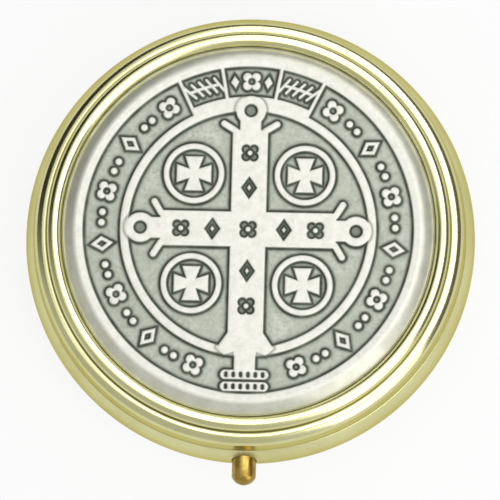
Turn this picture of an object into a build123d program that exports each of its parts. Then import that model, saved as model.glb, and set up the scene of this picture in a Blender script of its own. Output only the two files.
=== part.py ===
from build123d import *

import os
from math import asin, atan2, cos, degrees, pi, radians, sin, sqrt

# A round hinged pyx: a drawn brass case with a push-button catch at the front (-Y),
# a sprung hinge at the back (+Y) and a cast pewter medal set in the lid.
# Millimetres, +Z up, origin at the centre of the flat underside.

# Case outline
case_radius = 27.0  # widest ring of the base, at its belly
belly_height = 4.8  # height of that widest ring
base_height = 8.2  # top of the base's rim
belly_lean = 1.1  # how far the base leans in from belly to rim
sheet = 0.55  # brass sheet of both shells
parting_gap = 0.15  # line between base and lid

# Lid outline
skirt_height = 1.85
skirt_lean = 0.25
skirt_bulge = 0.04
shoulder_round = 1.3
shoulder_inner_round = 0.4
shoulder_width = 1.6  # from the lid's edge in to the bezel bead
bead_radius = 0.9  # half-round bezel bead
bead_rise = 1.5  # bead crest above the shoulder
recess_depth = 1.3  # medal panel below the bead crest

# Liners
liner_sheet = 0.4
well_corner = 1.6
collar_gap = 0.3  # inside the folded collar
collar_rise = 1.5  # collar above the base's rim
ledge_drop = 0.15  # ledge below the base's rim
liner_clearance = 0.12
plate_clearance = 0.7  # lid plate above the collar
plate_edge_clearance = 0.1

# Hinge
hinge_inset = 1.15  # hinge line inside the rim
barrel_radius = 0.75
pin_radius = 0.35
pin_clearance = 0.05
leaf_sheet = 0.4
hinge_length = 9.6
base_knuckle = 2.2
lid_knuckle = 1.2
knuckle_gap = 0.1
notch_side_gap = 0.7
notch_gap = 0.15  # base notch below the barrel
lid_notch_rise = 1.0  # lid notch above the barrel
lid_relief = 0.25  # lid's rim cut back where it swings past the hinge line
lid_relief_gap = 0.3
leaf_clearance = 0.1
base_leaf_strip = 0.7
lid_leaf_shoulder = 1.0  # lid leaf's plate beyond its knuckles
lid_foot_reach = 5.0  # lid leaf's foot, in from the hinge line
hinge_spring_wire = 0.3
hinge_spring_gap = 0.1  # between coil and pin
hinge_spring_turns = 3.444
hinge_spring_room = 0.35  # from the outer coils to the lid's knuckles
hinge_spring_leg = 1.8
coil_samples = 240

# Latch
catch_width = 4.4
catch_sheet = 0.45
catch_setback = 0.53  # catch inside the base's rim
catch_lip = 0.5
catch_lip_height = 0.3
catch_foot_reach = 4.3
latch_sheet = 0.3
latch_lip_height = 0.25
latch_overlap = 0.35  # how far the two lips hook
latch_gap = 0.1
latch_step = 0.25  # latch strip in front of the catch
latch_strip_height = 1.8
latch_half_length = 5.8
latch_ear = 1.8
latch_ear_reach = 2.1
latch_tongue_width = 4.0
latch_arm_width = 1.0
slot_clearance = 0.25
tongue_clearance = 0.2  # pressed tongue to the host well

# Push button
button_radius = 1.45
button_reach = 2.75  # beyond the belly
button_dome = 1.0
button_bore_gap = 0.07
button_travel = 0.9
button_neck_radius = 0.85
button_stem_radius = 0.5
button_stem_gap = 0.06
button_head_radius = 0.75
button_head = 0.25

# Rivets
rivet_radius = 0.35
rivet_head_radius = 0.55
rivet_head = 0.22
lid_rivet_edge = 1.5  # in from the sides of the lid leaf
catch_rivet_edge = 0.9  # in from the sides of the catch

# Medal
medal_edge_clearance = 0.08
cement = 0.15
cement_setback = 0.5
medal_edge = 0.5  # thickness of the medal's outer edge
medal_ground = 1.15  # thickness of the medal at its ground
relief = 0.4
border_slope = 1.7  # width of the sloping border
border_round = 0.2  # how much that slope swells
rim_width = 0.85
band_width = 4.35
ring_width = 1.05
top_band_step = 0.8  # ring is wider below the top panels
top_band_angle = 26.0
panel_angle = 10.4
divider_width = 0.5

# Cross on the medal
cross_step = 0.06  # cross above the ring it lies across
bar_width = 4.3
boss_radius = 1.82
boss_hole_radius = 0.75
boss_inset = 1.4  # side bosses inside the ring
top_boss_rise = 0.1  # top boss beyond the ring's inner edge
neck_width = 2.6
neck_length = 2.3
horn_width = 0.85
horn_root = (2.45, 1.8)
horn_tip = (1.62, 3.15)
fork_height = 1.85
fork_reach = 3.4
fork_cut = 0.92
fork_notch = 0.4
shaft_width = 2.6
rope_width = 5.8
rope_height = 1.2
rope_pitch = 1.42
rope_inset = 0.2
rope_holes = 6
rope_hole_pitch = 0.87
rope_hole_size = (0.34, 0.62)
mark_lozenge = (1.8, 2.6)
mark_stroke = 0.5
mark_flower = (0.64, 0.52, 0.34)  # reach and radius of its petals, and its eye
marks_across = (4.25, 8.0)
marks_along = (5.0, 9.2)

# Roundels, band ornament and branches on the medal
roundel_place = 6.6
roundel_radius = 3.65
roundel_ring = 0.75
crosslet_arm = 2.1
crosslet_waist = 0.42
crosslet_flare = 1.15
band_start = 34.0
band_end = 159.5
band_count = 7
dot_radius = 0.45
dot_spread = 1.25
band_flower = (0.72, 0.58, 0.4)  # reach and radius of its petals, and its eye
lozenge_size = (1.9, 2.9)
lozenge_stroke = 0.5
branch_start = 12.6
branch_end = 24.2
branch_strokes = 5
branch_stroke = (0.42, 2.3)
branch_stroke_lean = 28.0
branch_stem = 0.45
small_lozenge = (1.1, 1.7)
small_lozenge_angle = 6.4

# Radii and heights that follow from the sizes above
foot_radius = case_radius - belly_height
wall_rise = base_height - belly_height
wall_radius = (belly_lean**2 + wall_rise**2) / (2 * belly_lean)
wall_centre = case_radius - wall_radius
rim_radius = case_radius - belly_lean


def wall_inside(height):
    """Inner radius of the base's wall at a height above the belly."""
    return wall_centre + sqrt((wall_radius - sheet) ** 2 - (height - belly_height) ** 2)


rim_inside = wall_inside(base_height)
lid_rim = base_height + parting_gap
skirt_top = lid_rim + skirt_height
shoulder_radius = rim_radius - skirt_lean
shoulder_top = skirt_top + shoulder_round
shoulder_crest = shoulder_radius - shoulder_round
shoulder_under = shoulder_top - sheet
shoulder_inner_edge = shoulder_radius - sheet - shoulder_inner_round
crease_radius = shoulder_radius - shoulder_width
bead_crest = shoulder_top + bead_rise
bead_centre_height = bead_crest - bead_radius
bead_centre = crease_radius - bead_radius
recess_radius = bead_centre - bead_radius
panel_top = bead_crest - recess_depth
panel_under = panel_top - sheet

catch_out = -(rim_inside - catch_setback)
catch_in = catch_out + catch_sheet
catch_lip_in = catch_in + catch_lip
tongue_out = catch_lip_in + 2 * latch_gap
tongue_in = tongue_out + latch_sheet

cup_radius = -tongue_in - button_travel - tongue_clearance
well_radius = cup_radius - liner_sheet
fold_radius = liner_sheet + collar_gap / 2
fold_centre = well_radius + fold_radius
collar_radius = fold_centre + fold_radius
collar_top = base_height + collar_rise
fold_height = collar_top - fold_radius
ledge_top = base_height - ledge_drop
ledge_under = ledge_top - liner_sheet
ledge_radius = wall_inside(ledge_top) - liner_clearance
plate_under = collar_top + plate_clearance
plate_top = plate_under + liner_sheet
plate_radius = shoulder_inner_edge - plate_edge_clearance

hinge_y = rim_radius - hinge_inset
hinge_z = ledge_top + barrel_radius
hinge_half = hinge_length / 2
lid_knuckle_end = hinge_half - base_knuckle - knuckle_gap
lid_knuckle_start = lid_knuckle_end - lid_knuckle
hinge_spring_width = 2 * (lid_knuckle_start - hinge_spring_room)
hinge_rivet_spread = hinge_length - base_knuckle
hinge_rivet_y = hinge_y - barrel_radius - rivet_head_radius - leaf_clearance
notch_half = hinge_half + notch_side_gap
lid_relief_half = sqrt(rim_radius**2 - hinge_y**2) + lid_relief_gap
lid_foot_under = plate_under - leaf_sheet
base_leaf_front = collar_radius + leaf_clearance
lid_plate_in = hinge_y - barrel_radius
lid_leaf_half = lid_knuckle_end + lid_leaf_shoulder
lid_rivet_spread = 2 * (lid_leaf_half - lid_rivet_edge)

catch_half = catch_width / 2
catch_rivet_spread = catch_width - 2 * catch_rivet_edge
latch_rivet_spread = 2 * latch_half_length - latch_ear
latch_lip_top = ledge_under - latch_gap
latch_lip_under = latch_lip_top - latch_lip_height
catch_lip_top = latch_lip_under - latch_gap
catch_lip_under = catch_lip_top - catch_lip_height
button_height = catch_lip_under - 2 * latch_gap - button_head_radius
strip_out = catch_out - latch_step
strip_in = strip_out + latch_sheet
strip_top = catch_lip_under - latch_step
strip_under = strip_top - latch_strip_height

medal_radius = recess_radius - medal_edge_clearance
medal_under = panel_top + cement
ground = medal_under + medal_ground
relief_top = ground + relief
rim_outer = medal_radius - border_slope
rim_inner = rim_outer - rim_width
ring_outer = rim_inner - band_width
ring_inner = ring_outer - ring_width
band_middle = (ring_outer + rim_inner) / 2
panel_inner = ring_outer + top_band_step
panel_middle = (panel_inner + rim_inner) / 2
side_boss = ring_inner - boss_inset
top_boss = ring_inner + top_boss_rise
rope_low = rim_inner - rope_height / 2 - rope_inset
rope_high = rope_low - rope_pitch
fork_tip = ring_inner

os.makedirs("parts", exist_ok=True)


def write(builder, name):
    """Label a finished piece and write it as its own STEP file."""
    builder.part.label = name
    export_step(builder.part, f"parts/{name}.step")


def on_circle(radius, angle):
    """Point at an angle clockwise from the medal's top."""
    return (radius * sin(radians(angle)), radius * cos(radians(angle)))


# Base shell: a drawn bowl with a rounded foot and a wall that leans in to its rim
with BuildPart() as base_shell:
    with BuildSketch(Plane.XZ):
        with BuildLine():
            Line((0, 0), (foot_radius, 0))
            CenterArc((foot_radius, belly_height), belly_height, 270, 90)
            rise = degrees(atan2(wall_rise, wall_radius - belly_lean))
            CenterArc((wall_centre, belly_height), wall_radius, 0, rise)
            Line((rim_radius, base_height), (rim_inside, base_height))
            lean = degrees(atan2(wall_rise, rim_inside - wall_centre))
            CenterArc((wall_centre, belly_height), wall_radius - sheet, lean, -lean)
            CenterArc((foot_radius, belly_height), belly_height - sheet, 360, -90)
            Line((foot_radius, sheet), (0, sheet))
            Line((0, sheet), (0, 0))
        make_face()
    revolve(axis=Axis.Z)
    with BuildSketch(Plane.XZ.offset(wall_centre)):
        with Locations((0, button_height)):
            Circle(button_radius + button_bore_gap)
    extrude(amount=case_radius, mode=Mode.SUBTRACT)
    notch_floor = hinge_z - barrel_radius - notch_gap
    with BuildSketch(Plane.XY.offset(notch_floor)):
        with Locations((0, case_radius)):
            Rectangle(2 * notch_half, 2 * (case_radius - collar_radius))
    extrude(amount=base_height, mode=Mode.SUBTRACT)
write(base_shell, "base_shell")

# Base liner: the host well, folded over into a collar and turned out into a ledge
slot_out = catch_out - slot_clearance
slot_in = catch_lip_in + slot_clearance
relief_front = hinge_y - barrel_radius / 2 - leaf_clearance / 2
with BuildPart() as base_liner:
    with BuildSketch(Plane.XZ):
        with BuildLine():
            floor_top = sheet + liner_sheet
            corner_height = floor_top + well_corner
            corner_radius = well_radius - well_corner
            Line((0, sheet), (corner_radius, sheet))
            CenterArc((corner_radius, corner_height), well_corner + liner_sheet, 270, 90)
            Line((cup_radius, corner_height), (cup_radius, fold_height))
            CenterArc((fold_centre, fold_height), collar_gap / 2, 180, -180)
            Line((collar_radius - liner_sheet, fold_height), (collar_radius - liner_sheet, ledge_under))
            Line((collar_radius - liner_sheet, ledge_under), (ledge_radius, ledge_under))
            Line((ledge_radius, ledge_under), (ledge_radius, ledge_top))
            Line((ledge_radius, ledge_top), (collar_radius, ledge_top))
            Line((collar_radius, ledge_top), (collar_radius, fold_height))
            CenterArc((fold_centre, fold_height), fold_radius, 0, 180)
            Line((well_radius, fold_height), (well_radius, corner_height))
            CenterArc((corner_radius, corner_height), well_corner, 360, -90)
            Line((corner_radius, floor_top), (0, floor_top))
            Line((0, floor_top), (0, sheet))
        make_face()
    revolve(axis=Axis.Z)
    with BuildSketch(Plane.XY.offset(ledge_under)):
        with Locations((0, (slot_out + slot_in) / 2)):
            Rectangle(catch_width + 2 * slot_clearance, slot_in - slot_out)
        with Locations((0, (relief_front + case_radius) / 2)):
            Rectangle(2 * (lid_knuckle_end + knuckle_gap), case_radius - relief_front)
        with Locations((0, hinge_rivet_y)):
            with GridLocations(hinge_rivet_spread, 1, 2, 1):
                Circle(rivet_radius)
        with Locations((0, strip_out + latch_ear_reach / 2)):
            with GridLocations(latch_rivet_spread, 1, 2, 1):
                Circle(rivet_radius)
    extrude(amount=liner_sheet, mode=Mode.SUBTRACT)
write(base_liner, "base_liner")

# Lid shell: skirt, rounded shoulder, bezel bead and the sunk panel that holds the medal
with BuildPart() as lid_shell:
    with BuildSketch(Plane.XZ):
        with BuildLine():
            Line((0, panel_top), (recess_radius, panel_top))
            Line((recess_radius, panel_top), (recess_radius, bead_centre_height))
            CenterArc((bead_centre, bead_centre_height), bead_radius, 180, -180)
            Line((crease_radius, bead_centre_height), (crease_radius, shoulder_top))
            Line((crease_radius, shoulder_top), (shoulder_crest, shoulder_top))
            CenterArc((shoulder_crest, skirt_top), shoulder_round, 90, -90)
            skirt_middle = (rim_radius + shoulder_radius) / 2 + skirt_bulge
            ThreePointArc(
                (shoulder_radius, skirt_top),
                (skirt_middle, (skirt_top + lid_rim) / 2),
                (rim_radius, lid_rim),
            )
            Line((rim_radius, lid_rim), (rim_radius - sheet, lid_rim))
            inner_round_start = shoulder_under - shoulder_inner_round
            Line((rim_radius - sheet, lid_rim), (shoulder_radius - sheet, inner_round_start))
            CenterArc((shoulder_inner_edge, inner_round_start), shoulder_inner_round, 0, 90)
            groove_half = bead_radius - sheet
            Line((shoulder_inner_edge, shoulder_under), (bead_centre + groove_half, shoulder_under))
            Line((bead_centre + groove_half, shoulder_under), (bead_centre + groove_half, bead_centre_height))
            CenterArc((bead_centre, bead_centre_height), groove_half, 0, 180)
            Line((bead_centre - groove_half, bead_centre_height), (bead_centre - groove_half, panel_under))
            Line((bead_centre - groove_half, panel_under), (0, panel_under))
            Line((0, panel_under), (0, panel_top))
        make_face()
    revolve(axis=Axis.Z)
    lid_notch_top = hinge_z + barrel_radius + lid_notch_rise
    with BuildSketch(Plane.XY.offset(lid_rim)):
        with Locations((0, case_radius)):
            Rectangle(2 * notch_half, 2 * (case_radius - collar_radius))
    extrude(amount=lid_notch_top - lid_rim, mode=Mode.SUBTRACT)
    with BuildSketch(Plane.XY.offset(lid_rim)):
        with Locations((0, case_radius)):
            Rectangle(2 * lid_relief_half, 2 * (case_radius - collar_radius))
    extrude(amount=lid_relief, mode=Mode.SUBTRACT)
write(lid_shell, "lid_shell")

# Lid liner: the plate seen inside the open lid, with its edge turned up to the shoulder
with BuildPart() as lid_liner:
    with BuildSketch(Plane.XZ):
        with BuildLine():
            Polyline(
                (0, plate_under),
                (plate_radius, plate_under),
                (plate_radius, shoulder_under),
                (plate_radius - liner_sheet, shoulder_under),
                (plate_radius - liner_sheet, plate_top),
                (0, plate_top),
                close=True,
            )
        make_face()
    revolve(axis=Axis.Z)
    lid_rivet_y = hinge_y - lid_foot_reach + 2 * rivet_radius
    catch_rivet_y = catch_out + catch_foot_reach - 2 * rivet_radius
    with BuildSketch(Plane.XY.offset(plate_under)):
        with Locations((0, lid_rivet_y)):
            with GridLocations(lid_rivet_spread, 1, 2, 1):
                Circle(rivet_radius)
        with Locations((0, catch_rivet_y)):
            with GridLocations(catch_rivet_spread, 1, 2, 1):
                Circle(rivet_radius)
    extrude(amount=liner_sheet, mode=Mode.SUBTRACT)
write(lid_liner, "lid_liner")


def knuckle_centres(start, end):
    """Middle of the left and right knuckles that run from start to end along the hinge."""
    middle = (start + end) / 2
    return (-middle, middle)


# Base hinge leaf: a plate riveted on the ledge, rolled into the two outer knuckles
with BuildPart() as base_hinge_leaf:
    plate_back = base_leaf_front + base_leaf_strip
    with BuildSketch(Plane.XY.offset(ledge_top)):
        with Locations((0, (base_leaf_front + plate_back) / 2)):
            Rectangle(hinge_length, base_leaf_strip)
        for centre in knuckle_centres(hinge_half - base_knuckle, hinge_half):
            with Locations((centre, (base_leaf_front + hinge_y) / 2)):
                Rectangle(base_knuckle, hinge_y - base_leaf_front)
    extrude(amount=leaf_sheet)
    for centre in knuckle_centres(hinge_half - base_knuckle, hinge_half):
        with BuildSketch(Plane.YZ.offset(centre)):
            with Locations((hinge_y, hinge_z)):
                Circle(barrel_radius)
        extrude(amount=base_knuckle / 2, both=True)
    with BuildSketch(Plane.YZ):
        with Locations((hinge_y, hinge_z)):
            Circle(pin_radius)
    extrude(amount=hinge_length, both=True, mode=Mode.SUBTRACT)
    with BuildSketch(Plane.XY.offset(ledge_top)):
        with Locations((0, hinge_rivet_y)):
            with GridLocations(hinge_rivet_spread, 1, 2, 1):
                Circle(rivet_radius)
    extrude(amount=leaf_sheet, mode=Mode.SUBTRACT)
write(base_hinge_leaf, "base_hinge_leaf")

# Lid hinge leaf: a foot riveted under the lid plate, turned down into the two inner knuckles
with BuildPart() as lid_hinge_leaf:
    with BuildSketch(Plane.XY.offset(lid_foot_under)):
        foot_front = hinge_y - lid_foot_reach
        foot_back = lid_plate_in + leaf_sheet
        with Locations((0, (foot_front + foot_back) / 2)):
            Rectangle(2 * lid_leaf_half, foot_back - foot_front)
    extrude(amount=leaf_sheet)
    plate_low = hinge_z + barrel_radius + leaf_clearance
    with BuildSketch(Plane.XZ.offset(-lid_plate_in)):
        for centre in knuckle_centres(lid_knuckle_start, lid_leaf_half):
            with Locations((centre, (plate_low + plate_under) / 2)):
                Rectangle(lid_leaf_half - lid_knuckle_start, plate_under - plate_low)
        for centre in knuckle_centres(lid_knuckle_start, lid_knuckle_end):
            with Locations((centre, (hinge_z + plate_under) / 2)):
                Rectangle(lid_knuckle, plate_under - hinge_z)
    extrude(amount=-leaf_sheet)
    for centre in knuckle_centres(lid_knuckle_start, lid_knuckle_end):
        with BuildSketch(Plane.YZ.offset(centre)):
            with Locations((hinge_y, hinge_z)):
                Circle(barrel_radius)
        extrude(amount=lid_knuckle / 2, both=True)
    with BuildSketch(Plane.YZ):
        with Locations((hinge_y, hinge_z)):
            Circle(pin_radius + pin_clearance)
    extrude(amount=hinge_length, both=True, mode=Mode.SUBTRACT)
    with BuildSketch(Plane.XY.offset(lid_foot_under)):
        with Locations((0, lid_rivet_y)):
            with GridLocations(lid_rivet_spread, 1, 2, 1):
                Circle(rivet_radius)
    extrude(amount=leaf_sheet, mode=Mode.SUBTRACT)
write(lid_hinge_leaf, "lid_hinge_leaf")

# Hinge pin
with BuildPart() as hinge_pin:
    with BuildSketch(Plane.YZ):
        with Locations((hinge_y, hinge_z)):
            Circle(pin_radius)
    extrude(amount=hinge_half, both=True)
write(hinge_pin, "hinge_pin")


def coil_point(x_start, pitch, radius, angle, first):
    """Point on the hinge spring's coil, and the direction of its wire there."""
    turn = radians(angle)
    along = pitch / (2 * pi)
    point = Vector(
        x_start + along * (turn - radians(first)),
        hinge_y + radius * cos(turn),
        hinge_z + radius * sin(turn),
    )
    return point, Vector(along, -radius * sin(turn), radius * cos(turn)).normalized()


def add_biarc(start, start_way, end, end_way):
    """Two tangent arcs from start to end that leave and arrive along the given ways."""
    span = end - start
    ways = start_way + end_way
    a = 2 * (start_way.dot(end_way) - 1)
    b = -2 * span.dot(ways)
    c = span.dot(span)
    reach = (-b - sqrt(b * b - 4 * a * c)) / (2 * a)
    near = start + start_way * reach
    far = end - end_way * reach
    joint = (near + far) / 2
    TangentArc(start, joint, tangent=start_way)
    TangentArc(joint, end, tangent=(far - near).normalized())


# Hinge spring: a torsion coil on the pin, one leg on the ledge and one under the lid leaf
coil_radius = pin_radius + hinge_spring_gap + hinge_spring_wire / 2
coil_first = 270.0
coil_last = coil_first + 360 * hinge_spring_turns
coil_pitch = hinge_spring_width / hinge_spring_turns
coil_step = (coil_last - coil_first) / round(4 * hinge_spring_turns)
with BuildPart() as hinge_spring:
    stations = [
        coil_point(-hinge_spring_width / 2, coil_pitch, coil_radius, coil_first + coil_step * n, coil_first)
        for n in range(round(4 * hinge_spring_turns) + 1)
    ]
    with BuildLine() as spring_path:
        first_point, first_way = stations[0]
        last_point, last_way = stations[-1]
        base_leg = hinge_y - base_leaf_front - base_leaf_strip
        Line(first_point - first_way * base_leg, first_point)
        for (here, here_way), (there, there_way) in zip(stations, stations[1:]):
            add_biarc(here, here_way, there, there_way)
        Line(last_point, last_point + last_way * hinge_spring_leg)
    with BuildSketch(Plane(spring_path.line @ 0, z_dir=spring_path.line % 0)):
        Circle(hinge_spring_wire / 2)
    sweep()
write(hinge_spring, "hinge_spring")
spring_wire = spring_path.wire()
wire_points = [spring_wire @ (n / coil_samples) for n in range(coil_samples + 1)]
wire_turn = 2 * pi * coil_radius / spring_wire.length
next_turn = round(0.75 * wire_turn * coil_samples)
nearest = min(
    (here - there).length for n, here in enumerate(wire_points) for there in wire_points[n + next_turn :]
)
print("hinge spring: least gap between turns", round(nearest - hinge_spring_wire, 3))

# Lid catch: a riveted foot with a tab that hangs through the ledge and ends in a lip
with BuildPart() as lid_catch:
    with BuildSketch(Plane.YZ):
        with BuildLine():
            Polyline(
                (catch_out, plate_under),
                (catch_out, catch_lip_under),
                (catch_lip_in, catch_lip_under),
                (catch_lip_in, catch_lip_top),
                (catch_in, catch_lip_top),
                (catch_in, plate_under - catch_sheet),
                (catch_out + catch_foot_reach, plate_under - catch_sheet),
                (catch_out + catch_foot_reach, plate_under),
                close=True,
            )
        make_face()
    extrude(amount=catch_half, both=True)
    with BuildSketch(Plane.XY.offset(plate_under - catch_sheet)):
        with Locations((0, catch_rivet_y)):
            with GridLocations(catch_rivet_spread, 1, 2, 1):
                Circle(rivet_radius)
    extrude(amount=catch_sheet, mode=Mode.SUBTRACT)
write(lid_catch, "lid_catch")

# Latch spring: a strip behind the button, with riveted ears and a hooked tongue
with BuildPart() as latch_spring:
    with BuildSketch(Plane.XZ.offset(-strip_out)):
        with Locations((0, (strip_under + strip_top) / 2)):
            Rectangle(2 * latch_half_length, latch_strip_height)
        for side in (-1, 1):
            with Locations((side * (latch_half_length - latch_ear / 2), (strip_under + ledge_under) / 2)):
                Rectangle(latch_ear, ledge_under - strip_under)
        with Locations((0, button_height)):
            Circle(button_stem_radius + button_stem_gap, mode=Mode.SUBTRACT)
    extrude(amount=-latch_sheet)
    with BuildSketch(Plane.XY.offset(ledge_under - latch_sheet)):
        for side in (-1, 1):
            ear_middle = side * (latch_half_length - latch_ear / 2)
            with Locations((ear_middle, strip_out + latch_ear_reach / 2)):
                Rectangle(latch_ear, latch_ear_reach)
        with Locations((0, strip_out + latch_ear_reach / 2)):
            with GridLocations(latch_rivet_spread, 1, 2, 1):
                Circle(rivet_radius, mode=Mode.SUBTRACT)
    extrude(amount=latch_sheet)
    with BuildSketch(Plane.XY.offset(strip_top - latch_sheet)):
        for side in (-1, 1):
            arm_middle = side * (latch_tongue_width - latch_arm_width) / 2
            with Locations((arm_middle, (strip_out + tongue_in) / 2)):
                Rectangle(latch_arm_width, tongue_in - strip_out)
    extrude(amount=latch_sheet)
    with BuildSketch(Plane.XZ.offset(-tongue_out)):
        with Locations((0, (strip_top - latch_sheet + latch_lip_top) / 2)):
            Rectangle(latch_tongue_width, latch_lip_top - strip_top + latch_sheet)
    extrude(amount=-latch_sheet)
    with BuildSketch(Plane.XY.offset(latch_lip_under)):
        lip_out = catch_lip_in - latch_overlap
        with Locations((0, (lip_out + tongue_in) / 2)):
            Rectangle(latch_tongue_width, tongue_in - lip_out)
    extrude(amount=latch_lip_height)
write(latch_spring, "latch_spring")

# Push button: a domed cap, a neck that bears on the latch strip and a riveted stem
with BuildPart() as push_button:
    cap_back = wall_inside(button_height + button_radius)
    with BuildSketch(Plane.YZ):
        with BuildLine():
            tip = -(case_radius + button_reach)
            Polyline(
                (tip + button_dome, button_height + button_radius),
                (-cap_back, button_height + button_radius),
                (-cap_back, button_height + button_neck_radius),
                (strip_out, button_height + button_neck_radius),
                (strip_out, button_height + button_stem_radius),
                (strip_in, button_height + button_stem_radius),
                (strip_in, button_height + button_head_radius),
                (strip_in + button_head, button_height + button_head_radius),
                (strip_in + button_head, button_height),
                (tip, button_height),
            )
            dome_radius = (button_radius**2 + button_dome**2) / (2 * button_dome)
            half_swing = asin(button_radius / dome_radius) / 2
            ThreePointArc(
                (tip + button_dome, button_height + button_radius),
                (tip + dome_radius * (1 - cos(half_swing)), button_height + dome_radius * sin(half_swing)),
                (tip, button_height),
            )
        make_face()
    revolve(axis=Axis((0, 0, button_height), (0, 1, 0)))
write(push_button, "push_button")


def add_rivets(y, spread, low, high, head_up):
    """A left and right rivet from low to high, with a flat head at one end."""
    upright = (Align.CENTER, Align.CENTER, Align.MIN)
    head_low = high if head_up else low - rivet_head
    for x in (-spread / 2, spread / 2):
        with Locations((x, y, low)):
            Cylinder(rivet_radius, high - low, align=upright)
        with Locations((x, y, head_low)):
            Cylinder(rivet_head_radius, rivet_head, align=upright)


with BuildPart() as hinge_rivets:
    add_rivets(hinge_rivet_y, hinge_rivet_spread, ledge_under, ledge_top + leaf_sheet, True)
write(hinge_rivets, "base_hinge_rivets")

with BuildPart() as lid_hinge_rivets:
    add_rivets(lid_rivet_y, lid_rivet_spread, lid_foot_under, plate_top, False)
write(lid_hinge_rivets, "lid_hinge_rivets")

with BuildPart() as catch_rivets:
    add_rivets(catch_rivet_y, catch_rivet_spread, plate_under - catch_sheet, plate_top, False)
write(catch_rivets, "lid_catch_rivets")

with BuildPart() as latch_rivets:
    add_rivets(
        strip_out + latch_ear_reach / 2, latch_rivet_spread, ledge_under - latch_sheet, ledge_top, True
    )
write(latch_rivets, "latch_rivets")

# Medal cement: the thin bed that holds the medal in its recess
with BuildPart() as medal_cement:
    with BuildSketch(Plane.XY.offset(panel_top)):
        Circle(medal_radius - cement_setback)
    extrude(amount=cement)
write(medal_cement, "medal_cement")


def add_lozenge(size, place, angle=0, mode=Mode.ADD):
    """A lozenge of a given width and height, turned clockwise by an angle."""
    width, height = size
    corners = [(width / 2, 0), (0, height / 2), (-width / 2, 0), (0, -height / 2)]
    with Locations(place):
        Polygon(*corners, rotation=-angle, align=None, mode=mode)


def add_open_lozenge(size, stroke, place, angle=0):
    """The outline of a lozenge, with a stroke of even width."""
    width, height = size
    inset = width * height / 2 / sqrt(width**2 + height**2)
    share = 1 - stroke / inset
    add_lozenge(size, place, angle)
    add_lozenge((width * share, height * share), place, angle, Mode.SUBTRACT)


def add_flower(size, place, angle=0):
    """Four petals round an open eye, turned clockwise by an angle."""
    reach, petal, eye = size
    with Locations(Location(place, -angle)):
        with PolarLocations(reach, 4, 45):
            Circle(petal)
        Circle(eye, mode=Mode.SUBTRACT)


def add_stroke(start, end, width):
    """A round-ended stroke between two points."""
    span = Vector(*end) - Vector(*start)
    middle = (Vector(*start) + Vector(*end)) / 2
    with Locations(middle):
        SlotCenterToCenter(span.length, width, rotation=degrees(atan2(span.Y, span.X)))


def add_arm_end(reach, way):
    """Neck, boss and two horns at the end of an arm that points along the given way."""
    along = Vector(*way)
    across = Vector(-way[1], way[0])
    add_stroke(along * (reach - neck_length), along * reach, neck_width)
    for side in (-1, 1):
        root = along * (reach - horn_root[0]) + across * (side * horn_root[1])
        tip = along * (reach - horn_tip[0]) + across * (side * horn_tip[1])
        add_stroke(root, tip, horn_width)
    with Locations(along * reach):
        Circle(boss_radius)


# The cross: two bars, bosses and horns at three ends, a forked foot on a roped shaft
arm_ends = [(side_boss, (1, 0)), (side_boss, (-1, 0)), (top_boss, (0, 1))]
bar_half = bar_width / 2
shaft_half = shaft_width / 2
fork_top = fork_tip - fork_height
with BuildSketch() as cross:
    Rectangle(2 * (side_boss - neck_length), bar_width)
    Rectangle(bar_width, top_boss - neck_length, align=(Align.CENTER, Align.MIN))
    Rectangle(bar_width, fork_top, align=(Align.CENTER, Align.MAX))
    Polygon(
        (-bar_half, -fork_top),
        (-fork_reach, -fork_tip),
        (fork_cut - fork_reach, -fork_tip - fork_cut),
        (-shaft_half, -fork_tip - fork_notch),
        (-shaft_half, -rope_high),
        (shaft_half, -rope_high),
        (shaft_half, -fork_tip - fork_notch),
        (fork_reach - fork_cut, -fork_tip - fork_cut),
        (fork_reach, -fork_tip),
        (bar_half, -fork_top),
        align=None,
    )
    for reach, way in arm_ends:
        add_arm_end(reach, way)
    with Locations((0, -rope_high), (0, -rope_low)):
        SlotOverall(rope_width, rope_height)

# Holes in the bosses and ropes, and the sunk lozenges and flowers along the bars
with BuildSketch() as cross_holes:
    for reach, way in arm_ends:
        with Locations(Vector(*way) * reach):
            Circle(boss_hole_radius)
    for row in (rope_high, rope_low):
        with Locations((0, -row)):
            with GridLocations(rope_hole_pitch, 1, rope_holes, 1):
                SlotOverall(rope_hole_size[1], rope_hole_size[0], rotation=90)
    add_flower(mark_flower, (0, 0))
    for side in (-1, 1):
        add_open_lozenge(mark_lozenge, mark_stroke, (side * marks_across[0], 0))
        add_open_lozenge(mark_lozenge, mark_stroke, (0, side * marks_along[0]))
        add_flower(mark_flower, (side * marks_across[1], 0))
        add_flower(mark_flower, (0, side * marks_along[1]))

# The inner ring, wider below the three top panels
with BuildSketch() as ring:
    Circle(panel_inner)
    with BuildLine():
        far = 2 * medal_radius
        side_point = on_circle(far, top_band_angle)
        Polyline((0, 0), side_point, (far, far), (far, -far), (-far, -far), (-far, far))
        Line((-far, far), (-side_point[0], side_point[1]))
        Line((-side_point[0], side_point[1]), (0, 0))
    make_face(mode=Mode.SUBTRACT)
    Circle(ring_outer)
    Circle(ring_inner, mode=Mode.SUBTRACT)

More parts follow.
